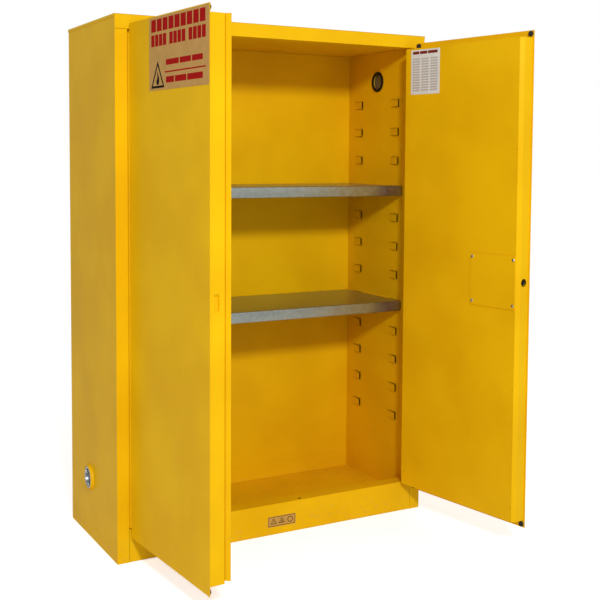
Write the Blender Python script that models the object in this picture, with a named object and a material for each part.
"""Two-door flammable storage cabinet: double-wall steel body, two hinged
doors, two lift-off shelves, leak-proof sump and two capped vents.

Frame: metres, +Z up, front toward -Y, origin at the centre of the underside.
The doors stand open, and everything else is closed or resting.
"""
import math

import bmesh
import bpy
from mathutils import Vector

# ---- overall sizes -------------------------------------------------------
WIDTH = 1.112
DEPTH = 0.468
HEIGHT = 1.651
SHEET = 0.0012          # 18 gauge sheet
GAP = 0.0003            # clearance between touching pieces
SEAM = 0.0010           # open joint where two visible sheets meet

FRONT = -DEPTH / 2
BACK = DEPTH / 2
SIDE = WIDTH / 2 - SHEET - GAP      # outer plane of the side sheets
CAP_Z = HEIGHT - SHEET - GAP        # highest point below the cap's plate
CAP_LAP = 0.009                     # how far the cap folds over the walls

# ---- door opening --------------------------------------------------------
JAMB_X = 0.5165         # half width of the opening
JAMB_DEPTH = 0.064
HEADER_Z = 1.608
SILL_Z = 0.102
SILL_DEPTH = 0.048
LINER_X = 0.518
LINER_BACK = 0.196
CEILING_Z = 1.613
SUMP_FLOOR = 0.044

# ---- shelf supports and shelves -----------------------------------------
TAB_TOP = 1.4395        # top edge of the highest tab
TAB_PITCH = 0.1016
TAB_COUNT = 12
TAB_HIGH = 0.025
TAB_OUT = 0.0065
TAB_SLIT = 0.0016       # sheared gap above and below a tab
TAB_FRONT = (-0.137, -0.084)
TAB_REAR = (0.100, 0.155)
SHELF_X = 0.5145
SHELF_Y = (-0.166, 0.192)
SHELF_LIP = 0.036
SHELF_TABS = {"shelf_upper": 3, "shelf_lower": 7}

# ---- vents: (side, y, z) -------------------------------------------------
VENTS = {"left": (-1, 0.030, 0.198), "right": (1, 0.000, 1.508)}
VENT_BORE = 0.033

# ---- hinges --------------------------------------------------------------
PIN_X = 0.5115
PIN_Y = FRONT - 0.005
KNUCKLE_R = 0.0045
PIN_R = 0.0022
LEAF_OFFSET = 0.0040    # from the pin to the middle of either leaf
KNUCKLE_PITCH = 0.0762
KNUCKLE_GAP = 0.0008    # between one knuckle and the next
HINGE_Z = (0.108, 1.598)
LEAF_V = (0.0049, 0.0350)
NECK_START = 0.0026     # where a leaf's neck leaves its knuckle

# ---- doors, in the door's own frame: u from the pin to the latch edge,
# ---- v inward from the pin --------------------------------------------------
SWING = {"left": math.radians(86.0), "right": math.radians(99.5)}
SKIN_U = (0.0052, 0.510)
SKIN_V = (-0.0025, -0.0013)
SKIN_Z = (0.080, 1.623)
PAN_U = (0.0050, 0.505)
PAN_V = (-0.0010, 0.046)
PAN_Z = (0.1045, 1.600)
CHAMFER = {"left": 0.0025, "right": 0.0105}
LATCH_Z = 0.852
LATCH_V = 0.020
HANDLE_U = 0.430
BUMPER_R = 0.0085
SKIN_HOLES = ((0.0365, 0.281), (0.0640, 0.281), (0.0460, 0.1446), (0.0750, 0.1446))

# ---- latch, in the same door frame ---------------------------------------
SPINDLE_R = 0.0062
ARM_LENGTH = 0.108
BOLT_R = 0.0060
BOLT_U = (0.450, 0.5045)
BOLT_HOLE_R = 0.0125
ROD_R = 0.0040
ROD_HOLE_R = 0.006
RODS = {"latch_rod_top": (0.880, 1.5995), "latch_rod_bottom": (0.1050, 0.824)}
GUIDES = {"rod_guide_top": 1.480, "rod_guide_bottom": 0.220}
STRIKE_Z = (0.828, 0.878)
STRIKE_HALF = 0.0075
STRIKE_DEEP = 0.0075    # depth of the pressed pocket, whose ends slope at 45 degrees
PLATE_Z = (0.800, 0.904)
PLATE_HALF = 0.021

# ---- access cover over the latch -------------------------------------------
COVER_THICK = 0.0028
COVER_U = (0.312, 0.494)
COVER_Z = (0.768, 0.934)
COVER_HOLE_U = (0.332, 0.472)
COVER_HOLE_Z = (0.787, 0.915)
SCREW_HOLE_R = 0.0024
SCREWS = {
    "screw_upper_left": (0.3195, 0.9220), "screw_upper_right": (0.4865, 0.9220),
    "screw_lower_left": (0.3195, 0.7805), "screw_lower_right": (0.4865, 0.7805),
}

SIGN = {"left": 1.0, "right": -1.0}


# ---- scene ---------------------------------------------------------------
def clear_scene():
    for obj in list(bpy.data.objects):
        bpy.data.objects.remove(obj, do_unlink=True)


def material(name, color, metallic=0.0, roughness=0.45):
    found = bpy.data.materials.get(name)
    if found:
        return found
    mat = bpy.data.materials.new(name)
    mat.use_nodes = True
    bsdf = mat.node_tree.nodes["Principled BSDF"]
    bsdf.inputs["Base Color"].default_value = (*color, 1.0)
    bsdf.inputs["Metallic"].default_value = metallic
    bsdf.inputs["Roughness"].default_value = roughness
    return mat


PALETTE = {
    "yellow_paint": ((0.78, 0.45, 0.01), 0.0, 0.35),
    "galvanised_steel": ((0.55, 0.58, 0.57), 0.9, 0.42),
    "zinc_plate": ((0.50, 0.53, 0.55), 0.9, 0.30),
    "dark_steel": ((0.05, 0.05, 0.055), 0.7, 0.45),
    "chrome_plate": ((0.70, 0.71, 0.72), 1.0, 0.12),
    "black_rubber": ((0.015, 0.015, 0.015), 0.0, 0.80),
    "wire_mesh": ((0.35, 0.37, 0.38), 0.9, 0.50),
    "sign_film": ((0.50, 0.27, 0.06), 0.0, 0.50),
    "paper_label": ((0.72, 0.70, 0.67), 0.0, 0.70),
}


def paint(obj, slot):
    color, metallic, roughness = PALETTE[slot]
    mat = material(f"{slot}.{obj.name}", color, metallic, roughness)
    obj.data.materials.clear()
    obj.data.materials.append(mat)
    return obj


# ---- solids --------------------------------------------------------------
def to_object(name, bm, smooth=False):
    bmesh.ops.recalc_face_normals(bm, faces=bm.faces)
    mesh = bpy.data.meshes.new(name)
    bm.to_mesh(mesh)
    bm.free()
    obj = bpy.data.objects.new(name, mesh)
    bpy.context.scene.collection.objects.link(obj)
    if smooth:
        mesh.shade_smooth()
        mesh.set_sharp_from_angle(angle=math.radians(35))
    return obj


def add_box(bm, x, y, z):
    corners = [bm.verts.new((px, py, pz)) for px in sorted(x) for py in sorted(y) for pz in sorted(z)]
    for quad in ((0, 1, 3, 2), (4, 6, 7, 5), (0, 4, 5, 1), (2, 3, 7, 6), (0, 2, 6, 4), (1, 5, 7, 3)):
        bm.faces.new([corners[i] for i in quad])


def add_prism(bm, outline, low, high, axis="z"):
    """Extrude a closed 2-D outline along one axis."""
    def place(p, h):
        if axis == "z":
            return (p[0], p[1], h)
        if axis == "y":
            return (p[0], h, p[1])
        return (h, p[0], p[1])
    bottom = [bm.verts.new(place(p, low)) for p in outline]
    top = [bm.verts.new(place(p, high)) for p in outline]
    bm.faces.new(bottom)
    bm.faces.new(list(reversed(top)))
    count = len(outline)
    for i in range(count):
        j = (i + 1) % count
        bm.faces.new((bottom[j], bottom[i], top[i], top[j]))


def circle(center, radius, count):
    step = 2 * math.pi / count
    return [
        (center[0] + radius * math.cos(i * step), center[1] + radius * math.sin(i * step))
        for i in range(count)
    ]


def box(name, x, y, z):
    bm = bmesh.new()
    add_box(bm, x, y, z)
    return to_object(name, bm)


def prism(name, outline, low, high, axis="z", smooth=False):
    bm = bmesh.new()
    add_prism(bm, outline, low, high, axis)
    return to_object(name, bm, smooth)


def strip(points, thickness):
    """Outline of a folded sheet whose middle follows the given points."""
    half = thickness / 2
    left = []
    right = []
    count = len(points)
    for i, point in enumerate(points):
        here = Vector(point)
        before = (here - Vector(points[i - 1])).normalized() if i else None
        after = (Vector(points[i + 1]) - here).normalized() if i < count - 1 else None
        first = before or after
        second = after or before
        normal = Vector((-first.y - second.y, first.x + second.x)).normalized()
        reach = half / max(0.2, normal.dot(Vector((-first.y, first.x))))
        left.append(tuple(here + normal * reach))
        right.append(tuple(here - normal * reach))
    return left + list(reversed(right))


def lathe(name, outline, origin, direction, count=32):
    """Turn an outline of (along, radius) pairs about an axis."""
    axis = Vector(direction).normalized()
    side = axis.orthogonal().normalized()
    other = axis.cross(side)
    bm = bmesh.new()
    rings = []
    for along, radius in outline:
        base = Vector(origin) + axis * along
        if radius < 1e-6:
            rings.append([bm.verts.new(base)])
            continue
        step = 2 * math.pi / count
        ring = []
        for i in range(count):
            turn = side * math.cos(i * step) + other * math.sin(i * step)
            ring.append(bm.verts.new(base + turn * radius))
        rings.append(ring)
    closed = outline[0][1] > 1e-6
    pairs = list(zip(rings, rings[1:]))
    if closed:
        pairs.append((rings[-1], rings[0]))
    for a, b in pairs:
        for i in range(count):
            j = (i + 1) % count
            if len(a) == 1:
                bm.faces.new((a[0], b[i], b[j]))
            elif len(b) == 1:
                bm.faces.new((a[i], b[0], a[j]))
            else:
                bm.faces.new((a[i], b[i], b[j], a[j]))
    return to_object(name, bm, smooth=True)


def apply_boolean(obj, cutter, operation):
    mod = obj.modifiers.new("shape", "BOOLEAN")
    mod.operation = operation
    mod.solver = "EXACT"
    mod.object = cutter
    graph = bpy.context.evaluated_depsgraph_get()
    result = bpy.data.meshes.new_from_object(obj.evaluated_get(graph))
    obj.modifiers.clear()
    old = obj.data
    obj.data = result
    bpy.data.meshes.remove(old)
    bpy.data.objects.remove(cutter, do_unlink=True)
    bm = bmesh.new()
    bm.from_mesh(obj.data)
    bmesh.ops.remove_doubles(bm, verts=bm.verts, dist=1e-6)
    bmesh.ops.recalc_face_normals(bm, faces=bm.faces)
    bm.to_mesh(obj.data)
    bm.free()
    return obj


def cut(obj, cutter):
    return apply_boolean(obj, cutter, "DIFFERENCE")


def join(obj, other):
    return apply_boolean(obj, other, "UNION")


def cut_hole(obj, center, radius, span, axis, count=20):
    return cut(obj, prism("cutter", circle(center, radius, count), span[0], span[1], axis))


def cut_box(obj, x, y, z):
    return cut(obj, box("cutter", x, y, z))


# ---- outer body ----------------------------------------------------------
def outer_side(side):
    s = -SIGN[side]
    half = SHEET / 2
    rear = BACK - SHEET - GAP
    points = [
        (s * (SIDE - half), rear),
        (s * (SIDE - half), FRONT + half),
        (s * (JAMB_X + half), FRONT + half),
        (s * (JAMB_X + half), FRONT + JAMB_DEPTH),
    ]
    obj = prism(f"outer_side_{side}", strip(points, SHEET), 0.0, CAP_Z)
    inner = s * (SIDE - SHEET - GAP / 2)
    cut_box(obj, (inner, 0.0), (FRONT - 0.01, FRONT + 0.1), (HEADER_Z - SEAM, HEIGHT))
    _, vent_y, vent_z = VENTS[side]
    cut_hole(obj, (vent_y, vent_z), VENT_BORE, sorted((s * 0.54, s * 0.57)), "x", 32)
    return paint(obj, "yellow_paint")


def top_cover():
    half = WIDTH / 2
    obj = box("top_cover", (-half, half), (FRONT, BACK), (HEIGHT - CAP_LAP, HEIGHT))
    inside = half - SHEET
    cut_box(obj, (-inside, inside), (FRONT - 0.01, BACK - SHEET), (HEIGHT - 0.05, HEIGHT - SHEET))
    return paint(obj, "yellow_paint")


def header():
    half = SHEET / 2
    x = SIDE - SHEET - GAP
    points = [
        (FRONT + 0.020, CAP_Z - half),
        (FRONT + half, CAP_Z - half),
        (FRONT + half, HEADER_Z + half),
        (FRONT + JAMB_DEPTH, HEADER_Z + half),
    ]
    obj = prism("header", strip(points, SHEET), -x, x, "x")
    rod = (PIN_X - HANDLE_U, PIN_Y + LATCH_V)
    cut_hole(obj, rod, ROD_HOLE_R, (HEADER_Z - 0.01, HEADER_Z + 0.01), "z")
    return paint(obj, "yellow_paint")


def outer_back():
    x = SIDE - SHEET - GAP
    y = BACK - SHEET - GAP
    return paint(box("outer_back", (-x, x), (y - SHEET, y), (SHEET + GAP, CAP_Z)), "yellow_paint")


def base_plate():
    x = SIDE - SHEET - GAP
    obj = box("base_plate", (-x, x), (FRONT + SHEET + GAP, BACK - SHEET - GAP), (0.0, SHEET))
    for s in (-1, 1):
        edge = s * (JAMB_X + SHEET + GAP)
        inner = s * (JAMB_X - GAP)
        cut_box(obj, (edge, inner), (FRONT - 0.01, FRONT + JAMB_DEPTH + GAP), (-0.01, 0.01))
    return paint(obj, "yellow_paint")


def sill():
    half = SHEET / 2
    low = SHEET + GAP
    x = JAMB_X - SEAM
    points = [
        (FRONT + 0.020, low + half),
        (FRONT + half, low + half),
        (FRONT + half, SILL_Z - half),
        (FRONT + SILL_DEPTH, SILL_Z - half),
    ]
    obj = prism("sill", strip(points, SHEET), -x, x, "x")
    rod = (PIN_X - HANDLE_U, PIN_Y + LATCH_V)
    cut_hole(obj, rod, ROD_HOLE_R, (SILL_Z - 0.01, SILL_Z + 0.01), "z")
    return paint(obj, "yellow_paint")


def base_label():
    y = FRONT - GAP
    return paint(box("base_label", (-0.044, 0.058), (y - 0.0003, y), (0.0265, 0.0610)), "sign_film")


# ---- inner walls ---------------------------------------------------------
def liner_side(side):
    """Inner side wall with two columns of tabs lanced out of the sheet.

    Each tab stays joined along its rear edge and leans into the cabinet.
    """
    s = -SIGN[side]
    vent_y, vent_z = VENTS[side][1:]
    y_marks = [FRONT + JAMB_DEPTH + GAP, *TAB_FRONT, *TAB_REAR, LINER_BACK + SHEET]
    z_marks = [SHEET + GAP]
    for i in reversed(range(TAB_COUNT)):
        top = TAB_TOP - i * TAB_PITCH
        z_marks += [top - TAB_HIGH - TAB_SLIT, top - TAB_HIGH, top, top + TAB_SLIT]
    z_marks.append(CEILING_Z - GAP)
    x_plane = s * LINER_X
    bm = bmesh.new()
    grid = [[bm.verts.new((x_plane, y, z)) for z in z_marks] for y in y_marks]
    for i in range(len(y_marks) - 1):
        for j in range(len(z_marks) - 1):
            column = i in (1, 3)
            if column and j % 4 in (1, 3):
                continue
            if column and j % 4 == 2:
                tip = [
                    bm.verts.new((x_plane - s * TAB_OUT, y_marks[i] + 0.001, z_marks[j])),
                    bm.verts.new((x_plane - s * TAB_OUT, y_marks[i] + 0.001, z_marks[j + 1])),
                ]
                bm.faces.new((tip[0], grid[i + 1][j], grid[i + 1][j + 1], tip[1]))
            else:
                bm.faces.new((grid[i][j], grid[i + 1][j], grid[i + 1][j + 1], grid[i][j + 1]))
    obj = to_object(f"liner_{side}", bm)
    plane = obj.modifiers.new("sheet", "SOLIDIFY")
    plane.thickness = SHEET
    normal_x = obj.data.polygons[0].normal.x
    plane.offset = -1.0 if normal_x * s < 0 else 1.0
    graph = bpy.context.evaluated_depsgraph_get()
    result = bpy.data.meshes.new_from_object(obj.evaluated_get(graph))
    obj.modifiers.clear()
    obj.data = result
    cut_hole(obj, (vent_y, vent_z), VENT_BORE, sorted((s * 0.50, s * 0.54)), "x", 32)
    return paint(obj, "yellow_paint")


def liner_back():
    x = LINER_X - GAP
    obj = box("liner_back", (-x, x), (LINER_BACK, LINER_BACK + SHEET), (SHEET + GAP, CEILING_Z - GAP))
    return paint(obj, "yellow_paint")


def liner_top():
    x = LINER_X + SHEET
    y = (FRONT + JAMB_DEPTH + GAP, LINER_BACK + SHEET)
    return paint(box("liner_top", (-x, x), y, (CEILING_Z, CEILING_Z + SHEET)), "yellow_paint")


def sump_pan():
    x = LINER_X - GAP
    y = (FRONT + JAMB_DEPTH + GAP, LINER_BACK - GAP)
    top = SILL_Z - SHEET - GAP
    obj = box("sump_pan", (-x, x), y, (SUMP_FLOOR - SHEET, top))
    narrow = JAMB_X - GAP
    front = (FRONT + SILL_DEPTH + GAP, y[0] + 0.01)
    join(obj, box("cutter", (-narrow, narrow), front, (SUMP_FLOOR - SHEET, top)))
    cut_box(obj, (-x + SHEET, x - SHEET), (y[0] + SHEET, y[1] - SHEET), (SUMP_FLOOR, 0.2))
    inside = (front[0] + SHEET, y[0] + 0.02)
    cut_box(obj, (-narrow + SHEET, narrow - SHEET), inside, (SUMP_FLOOR, 0.2))
    return paint(obj, "yellow_paint")


# ---- vents ---------------------------------------------------------------
def vent(side):
    s, y, z = VENTS[side]
    origin = (s * SIDE, y, z)
    out = (s, 0, 0)
    deep = -(SIDE - LINER_X)
    body = lathe(f"vent_flange_{side}", [
        (0.0110, 0.0360), (0.0110, 0.0392), (0.0090, 0.0410), (GAP, 0.0420),
        (GAP, VENT_BORE - 0.0004), (deep, VENT_BORE - 0.0004), (deep, 0.0290), (0.0030, 0.0290),
        (0.0030, 0.0360),
    ], origin, out)
    paint(body, "yellow_paint")
    plug = lathe(f"vent_plug_{side}", [
        (-0.0070, 0.0), (-0.0070, 0.0245), (-0.0050, 0.0262), (0.0080, 0.0268), (0.0095, 0.0285),
        (0.0100, 0.0330), (0.0088, 0.0356), (0.0034, 0.0356), (0.0034, 0.0286),
        (-0.0090, 0.0286), (-0.0090, 0.0),
    ], origin, out)
    paint(plug, "zinc_plate")
    screen = lathe(f"flame_arrester_{side}", [
        (deep + 0.0050, 0.0), (deep + 0.0050, 0.0286), (deep + 0.0035, 0.0286), (deep + 0.0035, 0.0),
    ], origin, out)
    paint(screen, "wire_mesh")
    inner = deep - GAP
    nut = lathe(f"vent_nut_{side}", [
        (inner, 0.0365), (inner - 0.0040, 0.0355), (inner - 0.0040, 0.0262), (inner, 0.0262),
    ], origin, out)
    paint(nut, "dark_steel")


# ---- hinges --------------------------------------------------------------
def knuckles(name, plate_x, neck_x, phase):
    """One leaf of a piano hinge about the Z axis through the origin."""
    obj = box(name, plate_x, LEAF_V, HINGE_Z)
    half = SHEET / 2
    rings = bmesh.new()
    necks = bmesh.new()
    count = int((HINGE_Z[1] - HINGE_Z[0]) / KNUCKLE_PITCH)
    for i in range(phase, count, 2):
        low = HINGE_Z[0] + i * KNUCKLE_PITCH + KNUCKLE_GAP / 2
        high = low + KNUCKLE_PITCH - KNUCKLE_GAP
        add_prism(rings, circle((0.0, 0.0), KNUCKLE_R, 12), low, high)
        add_box(necks, (neck_x - half, neck_x + half), (NECK_START, LEAF_V[0] + 0.001), (low, high))
    join(obj, to_object("rings", rings))
    join(obj, to_object("necks", necks))
    cut_hole(obj, (0.0, 0.0), PIN_R + 0.0002, (0.0, 2.0), "z", 12)
    obj.data.shade_smooth()
    obj.data.set_sharp_from_angle(angle=math.radians(35))
    return paint(obj, "yellow_paint")


def hinge(side):
    s = SIGN[side]
    half = SHEET / 2
    frame_x = sorted((-s * (LEAF_OFFSET - half), -s * (LEAF_OFFSET + half)))
    frame = knuckles(f"hinge_{side}_frame_leaf", frame_x, -s * LEAF_OFFSET, 0)
    frame.location = (-s * PIN_X, PIN_Y, 0.0)
    door_x = sorted((s * (LEAF_OFFSET - half), s * (LEAF_OFFSET + half)))
    leaf = knuckles(f"hinge_{side}_door_leaf", door_x, s * LEAF_OFFSET, 1)
    hang(leaf, side)
    pin = prism(f"hinge_{side}_pin", circle((0.0, 0.0), PIN_R, 12), HINGE_Z[0] - 0.001, HINGE_Z[1] + 0.001)
    pin.location = (-s * PIN_X, PIN_Y, 0.0)
    pin.data.shade_smooth()
    pin.data.set_sharp_from_angle(angle=math.radians(35))
    paint(pin, "yellow_paint")


# ---- door pieces ---------------------------------------------------------
def hang(obj, side):
    """Place a piece made in the door's own frame on the open door."""
    s = SIGN[side]
    obj.location = (-s * PIN_X, PIN_Y, 0.0)
    obj.rotation_euler = (0.0, 0.0, -s * SWING[side])
    return obj


def door_box(name, side, u, v, z):
    s = SIGN[side]
    return hang(box(name, sorted((s * u[0], s * u[1])), v, z), side)


def door_skin(side):
    obj = door_box(f"door_{side}_skin", side, SKIN_U, SKIN_V, SKIN_Z)
    if side == "right":
        cut_thickness(obj, "right", (HANDLE_U, LATCH_Z), 0.008, (-0.01, 0.01))
    else:
        for spot in SKIN_HOLES:
            cut_thickness(obj, "left", spot, 0.0016, (-0.01, 0.01), 12)
    return paint(obj, "yellow_paint")


def cut_thickness(obj, side, center, radius, span, count=20):
    """Cut a round hole along the door's thickness."""
    s = SIGN[side]
    cutter = prism("cutter", circle((s * center[0], center[1]), radius, count), span[0], span[1], "y")
    return cut(obj, hang(cutter, side))


def cut_height(obj, side, center, radius, span, count=16):
    """Cut a round hole along the door's height."""
    s = SIGN[side]
    cutter = prism("cutter", circle((s * center[0], center[1]), radius, count), span[0], span[1])
    return cut(obj, hang(cutter, side))


def cut_latch_edge(obj, side, center, radius, span, count=24):
    """Cut a round hole through the door's latch edge."""
    s = SIGN[side]
    low, high = sorted((s * span[0], s * span[1]))
    cutter = prism("cutter", circle(center, radius, count), low, high, "x")
    return cut(obj, hang(cutter, side))


def pan_outline(side, inset):
    s = SIGN[side]
    u0, u1 = PAN_U[0] + inset, PAN_U[1] - inset
    v0 = PAN_V[0] - (0.01 if inset else 0.0)
    v1 = PAN_V[1] - inset
    bevel = CHAMFER[side] - inset * (2 - math.sqrt(2))
    corner = [(u1, v1 - bevel), (u1 - bevel, v1)]
    return [(s * u, v) for u, v in [(u0, v0), (u1, v0), *corner, (u0, v1)]]


def strike_pocket(pan):
    """Press a pocket with sloping ends into the left door's latch edge."""
    low, high = STRIKE_Z
    edge = PAN_U[1]
    floor = edge - STRIKE_DEEP
    shell = [
        (edge - 0.0005, low - 0.0015), (edge - 0.0005, high + 0.0015),
        (floor - SHEET, high - STRIKE_DEEP + 0.0005), (floor - SHEET, low + STRIKE_DEEP - 0.0005),
    ]
    hollow = [
        (edge + 0.001, low - 0.001), (edge + 0.001, high + 0.001),
        (floor, high - STRIKE_DEEP), (floor, low + STRIKE_DEEP),
    ]
    wide = STRIKE_HALF + SHEET
    join(pan, hang(prism("cutter", shell, LATCH_V - wide, LATCH_V + wide, "y"), "left"))
    cut(pan, hang(prism("cutter", hollow, LATCH_V - STRIKE_HALF, LATCH_V + STRIKE_HALF, "y"), "left"))


def door_pan(side):
    obj = hang(prism(f"door_{side}_pan", pan_outline(side, 0.0), *PAN_Z), side)
    core = prism("cutter", pan_outline(side, SHEET), PAN_Z[0] + SHEET, PAN_Z[1] - SHEET)
    cut(obj, hang(core, side))
    if side == "right":
        cut_latch_edge(obj, side, (LATCH_V, LATCH_Z), BOLT_HOLE_R, (0.50, 0.51))
        for z in PAN_Z:
            cut_height(obj, side, (HANDLE_U, LATCH_V), ROD_R + 0.0008, (z - 0.005, z + 0.005))
        s = SIGN[side]
        hole_x = sorted(s * u for u in COVER_HOLE_U)
        hole = box("cutter", hole_x, (0.040, 0.050), COVER_HOLE_Z)
        cut(obj, hang(hole, side))
    else:
        strike_pocket(obj)
    return paint(obj, "yellow_paint")


def astragal():
    """Flared strip behind the left door's latch edge."""
    v = PAN_V[1] + GAP + SHEET / 2
    points = [(0.478, v), (0.5048, v), (0.5150, v + 0.0102)]
    obj = prism("door_left_astragal", strip(points, SHEET), 0.1125, 1.600)
    return paint(hang(obj, "left"), "yellow_paint")


def bumpers(side):
    s = SIGN[side]
    spots = {
        "top_hinge": (0.0190, 1.6125),
        "top_latch": (0.4980, 1.6125),
        "low_hinge": (0.0190, 0.0905),
        "low_latch": (0.4980, 0.0905),
    }
    for name, (u, z) in spots.items():
        outline = [
            (0.0, 0.0), (0.0, BUMPER_R), (0.0040, BUMPER_R), (0.0057, BUMPER_R - 0.0017),
            (0.0057, 0.0),
        ]
        obj = lathe(f"bumper_{side}_{name}", outline, (s * u, SKIN_V[1] + GAP, z), (0, 1, 0), 20)
        paint(hang(obj, side), "black_rubber")


def door_labels():
    face = SKIN_V[0] - GAP
    sign = door_box("caution_sign", "left", (0.146, 0.507), (face - 0.0004, face), (1.417, 1.6195))
    paint(sign, "sign_film")
    inner = PAN_V[1] + GAP
    card = door_box("inspection_label", "right", (0.030, 0.162), (inner, inner + 0.0004), (1.446, 1.594))
    paint(card, "paper_label")


def access_cover():
    face = PAN_V[1] + GAP
    cover = door_box("access_cover", "right", COVER_U, (face, face + COVER_THICK), COVER_Z)
    for u, z in SCREWS.values():
        cut_thickness(cover, "right", (u, z), SCREW_HOLE_R, (0.04, 0.05), 12)
    paint(cover, "yellow_paint")
    s = SIGN["right"]
    pan = bpy.data.objects["door_right_pan"]
    for name, (u, z) in SCREWS.items():
        cut_thickness(pan, "right", (u, z), SCREW_HOLE_R, (0.04, 0.05), 12)
        outline = [
            (-0.0045, 0.0), (-0.0045, 0.0021), (COVER_THICK + GAP, 0.0021),
            (COVER_THICK + GAP, 0.0048), (COVER_THICK + 0.0016, 0.0044),
            (COVER_THICK + 0.0024, 0.0030), (COVER_THICK + 0.0027, 0.0),
        ]
        obj = lathe(name, outline, (s * u, face, z), (0, 1, 0), 16)
        paint(hang(obj, "right"), "zinc_plate")


# ---- latch ---------------------------------------------------------------
def spindle_x():
    return SIGN["right"] * HANDLE_U


def handle():
    """Backing plate and lever on the right door's outer face."""
    x = spindle_x()
    plate = box("handle_plate", (x - PLATE_HALF, x + PLATE_HALF), (-0.0050, -0.0028), PLATE_Z)
    hang(plate, "right")
    cut_thickness(plate, "right", (HANDLE_U, LATCH_Z), SPINDLE_R + 0.0006, (-0.01, 0.0))
    paint(plate, "chrome_plate")

    lever = lathe("handle_lever", [
        (-0.0185, 0.0), (-0.0185, SPINDLE_R), (0.0003, SPINDLE_R), (0.0003, 0.0140),
        (0.0230, 0.0140), (0.0262, 0.0125), (0.0262, 0.0),
    ], (x, -0.0053, LATCH_Z), (0, -1, 0), 24)
    arm = box("arm", (x, x + ARM_LENGTH), (-0.0295, -0.0195), (LATCH_Z - 0.008, LATCH_Z + 0.008))
    bevel = arm.modifiers.new("edges", "BEVEL")
    bevel.width = 0.003
    bevel.segments = 2
    join(lever, arm)
    hang(lever, "right")
    cut_thickness(lever, "right", (HANDLE_U, LATCH_Z), 0.0078, (-0.04, -0.0170), 24)
    paint(lever, "chrome_plate")


def lock_cylinder():
    x = spindle_x()
    key = lathe("lock_cylinder", [
        (0.0, 0.0), (0.0, 0.0075), (0.0150, 0.0075), (0.0158, 0.0066), (0.0158, 0.0),
    ], (x, -0.0173, LATCH_Z), (0, -1, 0), 24)
    hang(key, "right")
    keyway = box("cutter", (x - 0.0005, x + 0.0005), (-0.04, -0.0270), (LATCH_Z - 0.004, LATCH_Z + 0.004))
    cut(key, hang(keyway, "right"))
    paint(key, "dark_steel")


def latch_works():
    """Cam, two rods, bolt and rod guides inside the right door."""
    x = spindle_x()
    cam = prism("latch_cam", circle((x, LATCH_Z), 0.022, 24), 0.0090, 0.0120, "y", smooth=True)
    hang(cam, "right")
    cut_thickness(cam, "right", (HANDLE_U, LATCH_Z), SPINDLE_R + 0.0003, (0.0, 0.02))
    paint(cam, "zinc_plate")

    rod = circle((x, LATCH_V), ROD_R, 16)
    for name, (low, high) in RODS.items():
        paint(hang(prism(name, rod, low, high, "z", smooth=True), "right"), "zinc_plate")
    near, far = sorted(SIGN["right"] * u for u in BOLT_U)
    bolt = prism("latch_bolt", circle((LATCH_V, LATCH_Z), BOLT_R, 20), near, far, "x", smooth=True)
    paint(hang(bolt, "right"), "dark_steel")
    for name, z in GUIDES.items():
        guide = door_box(name, "right", (0.415, 0.445), (0.0120, 0.0445), (z - 0.001, z + 0.001))
        cut_height(guide, "right", (HANDLE_U, LATCH_V), ROD_R + 0.0003, (z - 0.005, z + 0.005))
        paint(guide, "zinc_plate")


# ---- shelves -------------------------------------------------------------
def shelf(name, tab):
    top = TAB_TOP - tab * TAB_PITCH + GAP + SHEET
    half = SHEET / 2
    y0, y1 = SHELF_Y
    low = top - SHELF_LIP + half
    points = [
        (y0 + 0.012, low), (y0 + half, low), (y0 + half, top - half), (y1 - half, top - half),
        (y1 - half, low), (y1 - 0.012, low),
    ]
    return paint(prism(name, strip(points, SHEET), -SHELF_X, SHELF_X, "x"), "galvanised_steel")


def build():
    clear_scene()
    for side in ("left", "right"):
        outer_side(side)
    top_cover()
    header()
    outer_back()
    base_plate()
    sill()
    base_label()
    for side in ("left", "right"):
        liner_side(side)
    liner_back()
    liner_top()
    sump_pan()
    for side in ("left", "right"):
        vent(side)
        hinge(side)
        door_skin(side)
        door_pan(side)
        bumpers(side)
    astragal()
    door_labels()
    access_cover()
    handle()
    lock_cylinder()
    latch_works()
    for name, tab in SHELF_TABS.items():
        shelf(name, tab)


build()
